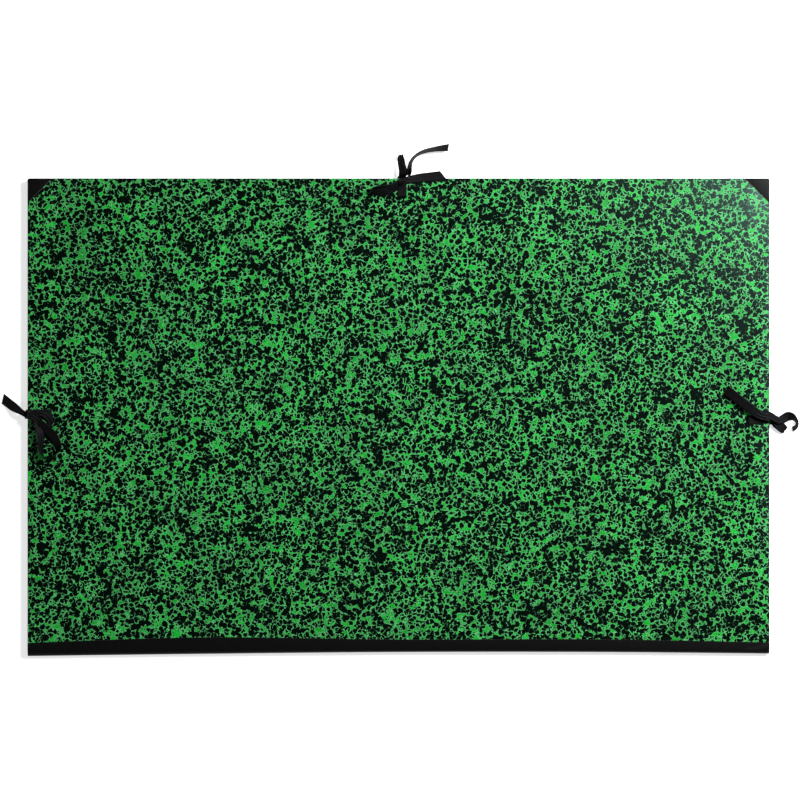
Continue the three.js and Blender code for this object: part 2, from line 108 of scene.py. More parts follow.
# %% The ribbons' routes
RIBBON_ROUTES = {
    # Through the slit, to the knot on the edge, round the knot, out into a long loop and back, and the tail
    "front_ribbon_left": [
        (0.029, 0, 0.0117, 0, 1, 0, 1),
        (0.012, 0, 0.0117, 0, 1, 0, 1),
        (0.004, 0, 0.0117, 0, 1, 0, 1),
        (0.0014, 0, 0.0117, 0, 1, 0, 1),
        (0, 0, 0.0128, 0, 1, 0, 1),
        (-0.0002, 0, 0.0144, 0, 1, 0, 1),
        (-0.002, 0, 0.0151, 0, 1, 0, 1),
        (-0.012, 0, 0.015, 0, 1, 0, 1),
        (-0.024, -0.0004, 0.0152, 0, 1, 0, 0.95),
        (-0.034, -0.0008, 0.0156, 0.05, 1, 0, 0.9),
        (-0.0385, -0.0012, 0.0185, 0.1, 1, 0, 0.85),
        (-0.035, -0.0024, 0.022, 0.1, 1, 0, 0.8),
        (-0.027, -0.0054, 0.0225, 0.4, 1, 0, 0.75),
        (-0.019, -0.013, 0.0215, 0.75, 0.65, 0.2, 0.85),
        (-0.009, -0.0225, 0.021, 0.7, 0.65, 0.3, 1),
        (0.0015, -0.032, 0.0205, 0.78, 0.58, 0.3, 1),
        (0.0085, -0.043, 0.0205, 0.9, 0.35, 0.4, 1),
        (0.0122, -0.0545, 0.0215, 0.8, 0.1, 0.7, 1),
        (0.0105, -0.0635, 0.0223, 0.25, 0.2, 1, 1),
        (0.0045, -0.0697, 0.0223, -0.1, 0.25, 1, 1),
        (-0.004, -0.0714, 0.0223, -0.1, 0.2, 1, 1),
        (-0.0125, -0.0674, 0.0223, -0.25, 0.1, 1, 1),
        (-0.016, -0.0574, 0.0223, -0.45, 0, 0.9, 1),
        (-0.0157, -0.0434, 0.0223, -0.6, 0, 0.8, 1),
        (-0.0172, -0.0284, 0.0223, -0.8, 0.1, 0.6, 1),
        (-0.0225, -0.0154, 0.0205, -0.8, 0.4, 0.4, 0.8),
        (-0.027, -0.0079, 0.0184, -0.9, 0.4, 0.2, 0.7),
        (-0.026, -0.0009, 0.0184, -0.7, 0.7, 0.1, 0.65),
        (-0.0185, 0.0016, 0.0178, -0.3, 1, 0.1, 0.7),
        (-0.009, -0.0014, 0.0166, 0.4, 1, 0, 0.8),
        (-0.0015, -0.0094, 0.0154, 0.75, 0.65, 0, 0.9),
        (0.0015, -0.0175, 0.01495, 0.95, 0.3, 0, 0.9),
    ],
    # Under the cover, up past the edge and out to the tail, which droops on to the table
    "back_ribbon_left": [
        (0.029, 0, 0.0035, 0, 1, 0, 1),
        (0.012, 0, 0.0035, 0, 1, 0, 1),
        (0.004, 0, 0.0035, 0, 1, 0, 1),
        (0.0014, 0, 0.0034, 0, 1, 0, 1),
        (0, 0, 0.0022, 0, 1, 0, 1),
        (0, 0, 0.00095, 0, 1, 0, 1),
        (-0.001, 0, 0.00042, 0, 1, 0, 1),
        (-0.003, 0, 0.00034, 0, 1, 0, 1),
        (-0.008, 0, 0.00032, 0, 1, 0, 1),
        (-0.018, 0, 0.0003, 0, 1, 0, 1),
        (-0.034, 0, 0.0003, 0, 1, 0, 1),
        (-0.0386, -0.0002, 0.0004, 0, 1, 0, 1),
        (-0.0406, -0.0004, 0.001, 0.05, 1, 0, 1),
        (-0.042, -0.0008, 0.005, 0.1, 1, 0, 0.95),
        (-0.0416, -0.0006, 0.01, 0.2, 1, 0, 0.75),
        (-0.0436, 0.0006, 0.0136, 0.3, 1, -0.2, 0.6),
        (-0.049, 0.0036, 0.0128, 0.45, 0.9, -0.3, 0.65),
        (-0.055, 0.0073, 0.0095, 0.5, 0.85, -0.2, 0.85),
        (-0.062, 0.012, 0.006, 0.5, 0.85, -0.1, 1),
        (-0.07, 0.0178, 0.0028, 0.5, 0.85, 0, 1),
        (-0.0792, 0.025, 0.0008, 0.35, 0.95, 0, 1),
    ],
    # Through the slit, to the knot, round it, the loop to the left and back, and the tail along the edge
    "front_ribbon_top": [
        (0, -0.0295, 0.0117, 1, 0, 0, 1),
        (0, -0.0125, 0.0117, 1, 0, 0, 1),
        (0, -0.0041, 0.0117, 1, 0, 0, 1),
        (0, -0.0015, 0.0117, 1, 0, 0, 1),
        (0, 0, 0.0128, 1, 0, 0, 1),
        (0, 0.0002, 0.0144, 1, 0, 0, 1),
        (0, 0.002, 0.0151, 1, 0, 0, 1),
        (0, 0.0095, 0.015, 1, 0, 0, 1),
        (0.0002, 0.0175, 0.0152, 1, 0, 0, 0.95),
        (0.0008, 0.026, 0.0158, 1, 0, 0, 0.9),
        (0.0013, 0.03, 0.019, 1, 0.1, 0, 0.85),
        (0.0003, 0.026, 0.0226, 1, 0.3, 0, 0.8),
        (-0.0057, 0.0205, 0.023, 0.6, 0.8, 0, 0.75),
        (-0.0157, 0.016, 0.022, 0.2, 1, 0.4, 0.8),
        (-0.0277, 0.0132, 0.0216, 0.1, 1, 0.8, 0.9),
        (-0.0387, 0.0122, 0.0216, 0, 1, 0.9, 0.95),
        (-0.046, 0.0106, 0.0218, 0, 0.9, 0.9, 0.85),
        (-0.0486, 0.0084, 0.0214, 0.2, 0.7, 0.9, 0.7),
        (-0.045, 0.0068, 0.0209, 0, 0.7, 0.9, 0.85),
        (-0.0357, 0.0068, 0.0206, -0.1, 0.8, 0.8, 0.95),
        (-0.0227, 0.009, 0.0189, -0.2, 0.9, 0.5, 0.85),
        (-0.0117, 0.014, 0.018, -0.3, 0.9, 0.2, 0.75),
        (-0.0027, 0.0205, 0.0184, -0.4, 1, 0, 0.7),
        (0.0063, 0.026, 0.018, -0.3, 1, 0, 0.75),
        (0.0163, 0.0286, 0.0168, -0.15, 1, 0, 0.85),
        (0.0303, 0.0309, 0.0159, -0.1, 1, 0, 0.95),
        (0.0463, 0.0328, 0.0155, -0.08, 1, 0, 0.95),
        (0.0668, 0.0352, 0.0153, -0.08, 1, 0, 0.95),
    ],
    # Under the cover, up past the edge, out into the standing loop and back, and the long tail to the right
    "back_ribbon_top": [
        (0, -0.0295, 0.0035, 1, 0, 0, 1),
        (0, -0.0125, 0.0035, 1, 0, 0, 1),
        (0, -0.0041, 0.0035, 1, 0, 0, 1),
        (0, -0.0015, 0.0034, 1, 0, 0, 1),
        (0, 0, 0.0022, 1, 0, 0, 1),
        (0, 0.0001, 0.00095, 1, 0, 0, 1),
        (0, 0.001, 0.00042, 1, 0, 0, 1),
        (0, 0.003, 0.00034, 1, 0, 0, 1),
        (0, 0.008, 0.00032, 1, 0, 0, 1),
        (0, 0.0135, 0.0003, 1, 0, 0, 1),
        (0, 0.0255, 0.0003, 1, 0, 0, 1),
        (0, 0.0305, 0.0004, 1, 0, 0, 1),
        (0, 0.0325, 0.001, 1, 0, 0, 0.95),
        (0.0002, 0.0341, 0.0045, 1, 0, 0, 0.85),
        (0.0004, 0.0345, 0.009, 1, 0, 0.1, 0.75),
        (0.0004, 0.0373, 0.0124, 1, 0.1, 0.3, 0.75),
        (0, 0.0445, 0.013, 0.8, 0.2, 0.5, 0.8),
        (-0.0015, 0.0545, 0.0122, 0.75, 0.2, 0.6, 0.85),
        (-0.0025, 0.0625, 0.011, 0.75, 0.1, 0.65, 0.85),
        (-0.0016, 0.0684, 0.0088, 0.75, 0.1, 0.7, 0.55),
        (-0.0007, 0.0625, 0.0068, 0.75, -0.1, 0.6, 0.85),
        (0.0006, 0.0545, 0.006, 0.75, -0.1, 0.6, 0.85),
        (0.0032, 0.0455, 0.0058, 0.8, -0.1, 0.5, 0.75),
        (0.0064, 0.0394, 0.006, 0.8, -0.2, 0.4, 0.6),
        (0.0096, 0.037, 0.0072, 0.8, -0.3, 0.5, 0.55),
        (0.0114, 0.041, 0.0082, 0.7, -0.1, 0.7, 0.7),
        (0.0122, 0.048, 0.008, 0.5, -0.05, 0.87, 0.95),
        (0.015, 0.058, 0.0078, 0.34, -0.14, 0.94, 1),
        (0.023, 0.0674, 0.0078, 0.24, -0.28, 0.94, 1),
        (0.0348, 0.0736, 0.0076, 0.17, -0.42, 0.9, 1),
        (0.0533, 0.0777, 0.0068, 0.1, -0.56, 0.83, 1),
        (0.0753, 0.0802, 0.005, 0.15, -0.8, 0.58, 1),
    ],
    # Through the slit, to the knot, round it, the long loop over the cover and back, and the hooked tail
    "front_ribbon_right": [
        (-0.029, 0, 0.0117, 0, 1, 0, 1),
        (-0.012, 0, 0.0117, 0, 1, 0, 1),
        (-0.004, 0, 0.0117, 0, 1, 0, 1),
        (-0.0014, 0, 0.0117, 0, 1, 0, 1),
        (0, 0, 0.0128, 0, 1, 0, 1),
        (0.0002, 0, 0.0144, 0, 1, 0, 1),
        (0.002, 0, 0.0151, 0, 1, 0, 1),
        (0.011, 0, 0.015, 0, 1, 0, 1),
        (0.021, 0.0003, 0.0152, 0, 1, 0, 0.95),
        (0.0305, 0.0013, 0.0158, -0.1, 1, 0, 0.9),
        (0.0345, 0.0028, 0.019, -0.2, 1, 0, 0.85),
        (0.0305, 0.0048, 0.0226, -0.3, 1, 0, 0.8),
        (0.022, 0.0068, 0.0232, 0.2, 1, 0, 0.8),
        (0.0125, 0.0123, 0.023, 0.5, 0.85, 0.1, 0.95),
        (0.001, 0.0208, 0.0232, 0.6, 0.8, 0.15, 1),
        (-0.013, 0.0313, 0.0234, 0.6, 0.8, 0.2, 1),
        (-0.0265, 0.042, 0.0224, 0.58, 0.8, 0.25, 1),
        (-0.034, 0.0477, 0.0196, 0.5, 0.85, 0.2, 1),
        (-0.035, 0.0481, 0.0164, 0.5, 0.85, 0.1, 1),
        (-0.0265, 0.0415, 0.0153, 0.58, 0.8, 0, 1),
        (-0.013, 0.0308, 0.0152, 0.6, 0.8, 0, 1),
        (0, 0.0208, 0.0156, 0.55, 0.85, 0, 0.9),
        (0.0115, 0.0133, 0.0174, 0.4, 0.9, 0, 0.75),
        (0.022, 0.0093, 0.019, 0.2, 1, 0, 0.7),
        (0.031, 0.0089, 0.019, -0.2, 1, 0, 0.75),
        (0.0385, 0.0054, 0.017, -0.35, 0.95, 0, 0.8),
        (0.0455, 0.0016, 0.0142, -0.45, 0.9, 0, 0.75),
        (0.0515, -0.0004, 0.012, -0.5, 0.85, 0.05, 0.8),
        (0.0575, 0.0019, 0.0108, -0.5, 0.8, 0.1, 0.95),
        (0.0645, 0.0059, 0.0098, -0.25, 0.95, 0.2, 1),
        (0.071, 0.005, 0.0086, 0.3, 0.85, 0.5, 1),
        (0.077, 0.001, 0.0078, 0.4, 0.3, 0.9, 0.95),
        (0.0803, -0.005, 0.0076, 0.3, 0, 1, 0.95),
        (0.0784, -0.0113, 0.0073, 0.25, -0.3, 0.92, 0.95),
        (0.0726, -0.015, 0.0064, 0.1, -0.6, 0.78, 0.95),
    ],
    # Under the cover, up past the edge, out into the small loop and back
    "back_ribbon_right": [
        (-0.029, 0, 0.0035, 0, 1, 0, 1),
        (-0.012, 0, 0.0035, 0, 1, 0, 1),
        (-0.004, 0, 0.0035, 0, 1, 0, 1),
        (-0.0014, 0, 0.0034, 0, 1, 0, 1),
        (0, 0, 0.0022, 0, 1, 0, 1),
        (0, 0, 0.00095, 0, 1, 0, 1),
        (0.001, 0, 0.00042, 0, 1, 0, 1),
        (0.003, 0, 0.00034, 0, 1, 0, 1),
        (0.008, 0, 0.00032, 0, 1, 0, 1),
        (0.015, 0, 0.0003, 0, 1, 0, 1),
        (0.029, -0.0002, 0.0003, 0, 1, 0, 1),
        (0.0356, -0.0004, 0.0004, 0, 1, 0, 1),
        (0.0376, -0.0005, 0.001, 0, 1, 0, 0.95),
        (0.0392, -0.0011, 0.004, 0, 1, 0, 0.85),
        (0.0412, -0.0023, 0.008, 0.3, 1, 0, 0.75),
        (0.0465, -0.0056, 0.009, 0.5, 0.85, 0, 0.85),
        (0.0525, -0.0097, 0.0082, 0.6, 0.8, 0, 1),
        (0.058, -0.0141, 0.007, 0.62, 0.78, 0, 1),
        (0.0616, -0.0171, 0.0046, 0.62, 0.78, 0, 0.7),
        (0.0594, -0.0156, 0.0017, 0.62, 0.78, 0, 0.95),
        (0.054, -0.0115, 0.0008, 0.6, 0.8, 0, 1),
        (0.0475, -0.0075, 0.0008, 0.55, 0.85, 0, 0.85),
        (0.0422, -0.0047, 0.001, 0.4, 0.9, 0, 0.7),
    ],
}
SLITS = {
    "left": Vector((-HALF_WIDTH + 38 * MM, 5.4 * MM, 0)),
    "top": Vector((5.7 * MM, FORE_EDGE - 30 * MM, 0)),
    "right": Vector((HALF_WIDTH - 35 * MM, -4.3 * MM, 0)),
}
for name, route in RIBBON_ROUTES.items():
    print(name, len(route), "places")

# %% [markdown]
# A smooth curve through the places is a Catmull-Rom spline. Its centripetal form never loops or
# overshoots at a tight bend, which a ribbon that turns round the edge of a slit needs. The width's
# direction and the gather are blended in a straight line from place to place, and the width is then set
# square to the ribbon's own direction.

# %% A smooth line through the places
STEPS_PER_PLACE = 12
SMALLEST_GAP = 1e-6


def spline_point(before, start, end, after, share):
    """A point on the centripetal Catmull-Rom spline between start and end."""
    pairs = ((before, start), (start, end), (end, after))
    first, middle, last = [max((b - a).length ** 0.5, SMALLEST_GAP) for a, b in pairs]
    leave = (start - before) / first - (end - before) / (first + middle) + (end - start) / middle
    arrive = (end - start) / middle - (after - start) / (middle + last) + (after - end) / last
    leave = leave * middle
    arrive = arrive * middle
    square = share * share
    cube = share ** 3
    return (start + leave * share + (3 * (end - start) - 2 * leave - arrive) * square
            + (2 * (start - end) + leave + arrive) * cube)


def ribbon_line(name):
    """Close stations along a ribbon: its place, its width's direction and its gather."""
    slit = SLITS[name.split("_")[-1]]
    route = RIBBON_ROUTES[name]
    places = [slit + Vector(row[:3]) for row in route]
    padded = [2 * places[0] - places[1]] + places + [2 * places[-1] - places[-2]]
    stations = []
    for index in range(len(places) - 1):
        for step in range(STEPS_PER_PLACE + (index == len(places) - 2)):
            share = step / STEPS_PER_PLACE
            place = spline_point(*padded[index:index + 4], share)
            width = Vector(route[index][3:6]).lerp(Vector(route[index + 1][3:6]), share)
            gather = route[index][6] * (1 - share) + route[index + 1][6] * share
            stations.append((place, width, gather))
    return stations


def walk(stations, spacing):
    """The same line with its stations evenly spaced, each with how far along it lies."""
    along = [0.0]
    for (a, _, _), (b, _, _) in zip(stations, stations[1:]):
        along.append(along[-1] + (b - a).length)
    count = max(2, round(along[-1] / spacing))
    even = []
    index = 0
    for step in range(count + 1):
        distance = along[-1] * step / count
        while index < len(along) - 2 and along[index + 1] < distance:
            index += 1
        share = (distance - along[index]) / (along[index + 1] - along[index])
        (a, wide_a, gather_a), (b, wide_b, gather_b) = stations[index:index + 2]
        gather = gather_a + (gather_b - gather_a) * share
        even.append((a.lerp(b, share), wide_a.lerp(wide_b, share), gather, distance))
    return even


for name in RIBBON_ROUTES:
    print(name, "is", round(walk(ribbon_line(name), MM)[-1][3], 3), "m long")

# %% [markdown]
# The ribbon itself is a grid of faces laid along that line: its rows follow the route and its columns run
# from edge to edge. Where the knot gathers it, the columns close up and the surface is folded into
# pleats, as a real tape is. The last rows lean over, because a ribbon is cut at a slant to keep it from
# fraying. Over its free length the tape is also a little crowned, now to one side and now to the other.
# The grid keeps a UV map in metres, across and along, so that the weave can follow every twist.
# Solidify then gives it the thickness of the tape.

# %% A ribbon from its line
RIBBON_WIDTH = 15 * MM
RIBBON_THICKNESS = 0.4 * MM
ROW_SPACING = 1.1 * MM
COLUMNS = 12
SLANT_START = 24 * MM
PLEAT_DEPTH = 2.2 * MM
PLEAT_WAVES = 1.25
CROWN = 0.2 * MM
CROWN_WAVE = 21 * MM
PATH_STEP = 3


def across_ribbon(stations, index):
    """The ribbon's place, its width's direction, the way it faces and its gather at one station."""
    place, width, gather, _ = stations[index]
    ahead = stations[min(index + 1, len(stations) - 1)][0]
    behind = stations[max(index - 1, 0)][0]
    along = (ahead - behind).normalized()
    across = (width - along * width.dot(along)).normalized()
    return place, across, along.cross(across), gather


def surface_point(stations, distance, side):
    """A point of the ribbon, so far along it and to its side: -1 is one edge and 1 the other."""
    last = len(stations) - 1
    position = distance / stations[-1][3] * last
    low = min(max(int(position), 0), last - 1)
    share = position - low
    turned = min(share, 1)
    place_a, across_a, facing_a, gather_a = across_ribbon(stations, low)
    place_b, across_b, facing_b, gather_b = across_ribbon(stations, low + 1)
    gather = gather_a + (gather_b - gather_a) * turned
    rise = PLEAT_DEPTH * (1 - gather) * math.sin(2 * math.pi * PLEAT_WAVES * side)
    rise += CROWN * gather * (1 - side * side) * math.sin(distance / CROWN_WAVE)
    spot = place_a + (place_b - place_a) * share
    spot = spot + across_a.lerp(across_b, turned) * (RIBBON_WIDTH / 2 * gather * side)
    return spot + facing_a.lerp(facing_b, turned) * rise


def build_ribbon(name, slant):
    """The tape and its line. One edge is longer than the other by slant, and its sign says which."""
    stations = walk(ribbon_line(name), ROW_SPACING)
    total = stations[-1][3]
    last = len(stations) - 1
    grid = bmesh.new()
    uv_layer = grid.loops.layers.uv.new("tape")
    rows = []
    marks = []
    for station in stations:
        lean = max(0.0, (station[3] - (total - SLANT_START)) / SLANT_START) ** 2
        verts = []
        uvs = []
        for column in range(COLUMNS + 1):
            side = 2 * column / COLUMNS - 1
            distance = station[3] + slant * side * lean / 2
            verts.append(grid.verts.new(surface_point(stations, distance, side)))
            uvs.append((side * RIBBON_WIDTH / 2, distance))
        rows.append(verts)
        marks.append(uvs)
    for row in range(last):
        for column in range(COLUMNS):
            corners = ((row, column), (row, column + 1), (row + 1, column + 1), (row + 1, column))
            face = grid.faces.new([rows[r][c] for r, c in corners])
            face.smooth = True
            for loop, (r, c) in zip(face.loops, corners):
                loop[uv_layer].uv = marks[r][c]
    mesh = bpy.data.meshes.new(name + "_tape")
    grid.to_mesh(mesh)
    grid.free()
    tape = bpy.data.objects.new(name + "_tape", mesh)
    bpy.context.scene.collection.objects.link(tape)
    bpy.ops.object.select_all(action="DESELECT")
    bpy.context.view_layer.objects.active = tape
    tape.select_set(True)
    thicken = tape.modifiers.new("thickness", "SOLIDIFY")
    thicken.thickness = RIBBON_THICKNESS
    thicken.offset = 0
    bpy.ops.object.modifier_apply(modifier=thicken.name)
    return tape, [station[0] for station in stations[::PATH_STEP]] + [stations[-1][0]]


print("a tape has", COLUMNS, "columns of faces and a row every", ROW_SPACING, "m")

# %% [markdown]
# Every ribbon is a free cord with a bare cut end, and it leaves the object at the mouth of its slit. Its
# real length is listed, and beside it stands the slant of its cut end. The three ribbons of the front cover
# move with that cover, and the three of the back cover stay on the table.

# %% The six ribbons
RIBBON_FACTS = {
    "front_ribbon_left": (0.294, -7 * MM),
    "back_ribbon_left": (0.131, 7 * MM),
    "front_ribbon_top": (0.2445, -9 * MM),
    "back_ribbon_top": (0.2335, -4 * MM),
    "front_ribbon_right": (0.308, 3 * MM),
    "back_ribbon_right": (0.128, 3 * MM),
}
ribbons = {}
for name, (length, slant) in RIBBON_FACTS.items():
    tape, line = build_ribbon(name, slant)
    front = name.startswith("front")
    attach(tape, FRONT if front else BACK)
    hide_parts(name)
    if front:
        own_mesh(tape)
    ribbons[name] = tape
    print(tape.name, len(tape.data.polygons), "faces,", length, "m")

# %% [markdown]
# The papers and the corner cloths are true in the frame, but their edges there are perfectly sharp. Paper
# that is folded round a board is always a little rounded at the fold. So each of these pieces is copied
# from the frame, its loose triangles are merged into one skin, and the long outer edges are selected by
# their place and bevelled in edit mode.

# %% Soft outer folds
FOLD_RADIUS = 0.8 * MM
CORNER_RADIUS = 3.3 * MM
FOLD_STEPS = 4
NEAR = 0.02 * MM
SAME_PLACE = 0.001 * MM
FLAT = math.radians(0.05)
SMOOTH_BELOW = math.radians(35)


def copy_of(node, name):
    """A copy of a node's mesh as one merged skin, active and alone in the selection."""
    bpy.ops.object.select_all(action="DESELECT")
    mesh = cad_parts[node].data.copy()
    mesh.name = name
    piece = bpy.data.objects.new(name, mesh)
    bpy.context.scene.collection.objects.link(piece)
    bpy.context.view_layer.objects.active = piece
    piece.select_set(True)
    bpy.ops.object.mode_set(mode="EDIT")
    bpy.ops.mesh.select_all(action="SELECT")
    bpy.ops.mesh.remove_doubles(threshold=SAME_PLACE)
    bpy.ops.mesh.dissolve_limited(angle_limit=FLAT)
    bpy.ops.mesh.select_all(action="DESELECT")
    bpy.ops.object.mode_set(mode="OBJECT")
    return piece


def triangles_facing_out():
    """Finishes the active piece: from edit mode, in triangles, shaded smooth across its soft folds."""
    bpy.ops.mesh.select_all(action="SELECT")
    bpy.ops.mesh.quads_convert_to_tris()
    bpy.ops.mesh.normals_make_consistent(inside=False)
    bpy.ops.object.mode_set(mode="OBJECT")
    bpy.ops.object.shade_smooth_by_angle(angle=SMOOTH_BELOW)


def on_outline(place):
    """Whether a place lies on the cover's outer edge, its rounded corners included."""
    across = abs(place.x)
    ahead = place.y
    centre_x = HALF_WIDTH - CORNER_RADIUS
    centre_y = FORE_EDGE - CORNER_RADIUS
    if across > centre_x and ahead > centre_y:
        return abs(math.hypot(across - centre_x, ahead - centre_y) - CORNER_RADIUS) < NEAR
    return across > HALF_WIDTH - NEAR or ahead > FORE_EDGE - NEAR


def round_outer_folds(piece):
    """Bevels the long outer edges of the active piece and says how many there were."""
    mesh = piece.data
    for edge in mesh.edges:
        a, b = (mesh.vertices[index].co for index in edge.vertices)
        edge.select = abs(a.z - b.z) < NEAR and on_outline(a) and on_outline(b)
    chosen = sum(edge.select for edge in mesh.edges)
    bpy.ops.object.mode_set(mode="EDIT")
    bpy.ops.mesh.select_mode(type="EDGE")
    bpy.ops.mesh.bevel(offset=FOLD_RADIUS, segments=FOLD_STEPS, affect="EDGES", clamp_overlap=True)
    triangles_facing_out()
    return chosen


papers = []
cloths = []
for side in ("front", "back"):
    for part in ("cover_paper", "corner_left", "corner_right"):
        node = f"{side}_{part}"
        piece = copy_of(node, f"{node}_folded")
        count = round_outer_folds(piece)
        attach(piece, FRONT if side == "front" else BACK)
        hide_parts(node)
        (papers if part == "cover_paper" else cloths).append(piece)
        print(piece.name, count, "edges rounded,", len(piece.data.polygons), "faces")

# %% [markdown]
# The spine is one strip of bookcloth that goes round from cover to cover, with a second strip inside it.
# Each is a merged copy of its node, in triangles and shaded smooth, with its place baked into the mesh.

# %% Cloth across the hinge
for node, slot in (("spine_cloth", "black_bookcloth"), ("spine_lining", "hinge_cloth")):
    strip = copy_of(node, f"{node}_bending")
    bpy.ops.object.mode_set(mode="EDIT")
    triangles_facing_out()
    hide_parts(node)
    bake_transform(strip)
    cloths.append(strip)
    print(strip.name, len(strip.data.polygons), "faces")

# %% [markdown]
# All finishes are made of shader nodes, with no picture. To keep the arithmetic readable, a socket is
# wrapped in a small class, Value, whose operators add Math nodes. A Finish owns one material. Its method
# node makes any node from its type, its settings and its inputs, and the others are short names for the
# kinds that are used most.

# %% Helpers for shader arithmetic
class Value:
    """A number that varies over a surface."""

    def __init__(self, finish, socket):
        self.finish = finish
        self.socket = socket

    def math(self, operation, *inputs):
        return self.finish.node("ShaderNodeMath", {"operation": operation}, dict(enumerate(inputs)))

    def __add__(self, other):
        return self.math("ADD", self, other)

    def __sub__(self, other):
        return self.math("SUBTRACT", self, other)

    def __mul__(self, other):
        return self.math("MULTIPLY", self, other)

    def __rsub__(self, other):
        return self.math("SUBTRACT", other, self)

    __radd__ = __add__

    def __abs__(self):
        return self.math("ABSOLUTE", self)

    def least(self, other):
        return self.math("MINIMUM", self, other)

    def sine(self):
        return self.math("SINE", self)

    def step_up(self, low, high):
        """0 below low, 1 above high, and a smooth rise between them."""
        settings = {"interpolation_type": "SMOOTHSTEP"}
        inputs = {"Value": self, "From Min": low, "From Max": high}
        return self.finish.node("ShaderNodeMapRange", settings, inputs)


class Finish:
    """One material and the nodes that make it."""

    def __init__(self, name, **constants):
        self.material = bpy.data.materials.new(name)
        self.material.use_nodes = True
        self.tree = self.material.node_tree
        self.shader = self.tree.nodes["Principled BSDF"]
        for socket, value in constants.items():
            self.shader.inputs[socket.replace("_", " ")].default_value = value

    def node(self, kind, settings, inputs, output=0):
        """A new node. An input is a number, a colour or a Value, and output says which result to give."""
        made = self.tree.nodes.new(kind)
        for setting, value in settings.items():
            setattr(made, setting, value)
        for socket, value in inputs.items():
            if isinstance(value, Value):
                self.tree.links.new(value.socket, made.inputs[socket])
            else:
                made.inputs[socket].default_value = value
        return Value(self, made.outputs[output])

    def place(self, source="Object"):
        """Coordinates in metres: where the surface is, or its own UV map."""
        return self.node("ShaderNodeTexCoord", {}, {}, source)

    def parts(self, vector):
        """The three numbers of a vector."""
        made = self.tree.nodes.new("ShaderNodeSeparateXYZ")
        self.tree.links.new(vector.socket, made.inputs[0])
        return [Value(self, socket) for socket in made.outputs]

    def noise(self, place, size, detail, output="Fac"):
        """Noise whose lumps are about that size in metres."""
        inputs = {"Vector": place, "Scale": 1 / size, "Detail": detail}
        return self.node("ShaderNodeTexNoise", {}, inputs, output)

    def mix(self, share, first, second):
        """A colour between two colours."""
        return self.node("ShaderNodeMix", {"data_type": "RGBA"}, {0: share, 6: first, 7: second}, 2)

    def bump(self, height, distance):
        """Relief: a height of 1 stands that distance in metres above 0."""
        self.feed("Normal", self.node("ShaderNodeBump", {}, {"Distance": distance, "Height": height}))

    def feed(self, socket, value):
        """Lets a varying value drive one of the shader's own inputs."""
        self.tree.links.new(value.socket, self.shader.inputs[socket])


def paint(piece, finish):
    """Gives a piece this finish alone."""
    piece.data.materials.clear()
    piece.data.materials.append(finish.material)


print("shader helpers are ready")

# %% [markdown]
# The marbled paper is the portfolio's whole character. Black ink stands on green paper in small round
# blots, 4 to 9 mm across, that crowd together until only thin veins of green are left between them, with
# clear green pools here and there. A Voronoi texture's distance to the nearest cell edge draws just that:
# the ink fills each cell up to a vein along its edge. The vein's width varies: slow noise makes pools and
# dense patches, and a different random value for each cell makes one blot large and its neighbour small.
# The cells are bent by noise first, so that no straight edge is left. A second, finer set of cells strews
# dots over the open green.

# %% Blots of ink
CELL = 7.4 * MM
SMALL_CELL = 4.2 * MM
ROUNDNESS = 0.66
BEND = 3.4 * MM
BEND_LUMP = 4.5 * MM
POOL_LUMP = 22 * MM
CLUMP_LUMP = 8 * MM
THIN_VEIN = 0.026
POOL_SHARE = 0.24
CLUMP_SHARE = 0.4
LOT_SHARE = 0.17

marble = Finish("marbled_paper_finish", Specular_IOR_Level=0.24, Specular_Tint=(0.6, 1, 0.85, 1))
spot = marble.place()
wander = marble.noise(spot, BEND_LUMP, 2, "Color")
bending = {0: wander, 1: (BEND, BEND, BEND), 2: spot}
bent = marble.node("ShaderNodeVectorMath", {"operation": "MULTIPLY_ADD"}, bending)


def cells_of(size):
    """A place's distance to its cell's edge and to its middle, and a random value for each cell."""
    inputs = {"Vector": bent, "Scale": 1 / size}
    to_edge = marble.node("ShaderNodeTexVoronoi", {"feature": "DISTANCE_TO_EDGE"}, inputs, "Distance")
    to_middle = marble.node("ShaderNodeTexVoronoi", {"feature": "F1"}, inputs, "Distance")
    colour = Value(marble, to_middle.socket.node.outputs["Color"])
    return to_edge, to_middle, marble.parts(colour)[0]


def inside(to_edge, to_middle, vein):
    """How far inside its blot of ink a place is: blots are parted by veins and rounded off."""
    return (to_edge - vein).least(ROUNDNESS - vein - to_middle)


pools = marble.noise(spot, POOL_LUMP, 1)
clumps = marble.noise(spot, CLUMP_LUMP, 1)
large_edge, large_middle, lot = cells_of(CELL)
small_edge, small_middle, _ = cells_of(SMALL_CELL)
vein = (THIN_VEIN + (pools - 0.5) * POOL_SHARE + (clumps - 0.5) * CLUMP_SHARE
        + (lot - 0.5) * LOT_SHARE)
large = inside(large_edge, large_middle, vein)
small = inside(small_edge, small_middle, vein * 0.7 + 0.12)
depth = large.math("MAXIMUM", large, small)
ink = depth.step_up(-0.02, 0.03)
print("blots stand about", round(CELL, 4), "m apart, and the dots between them", round(SMALL_CELL, 4))
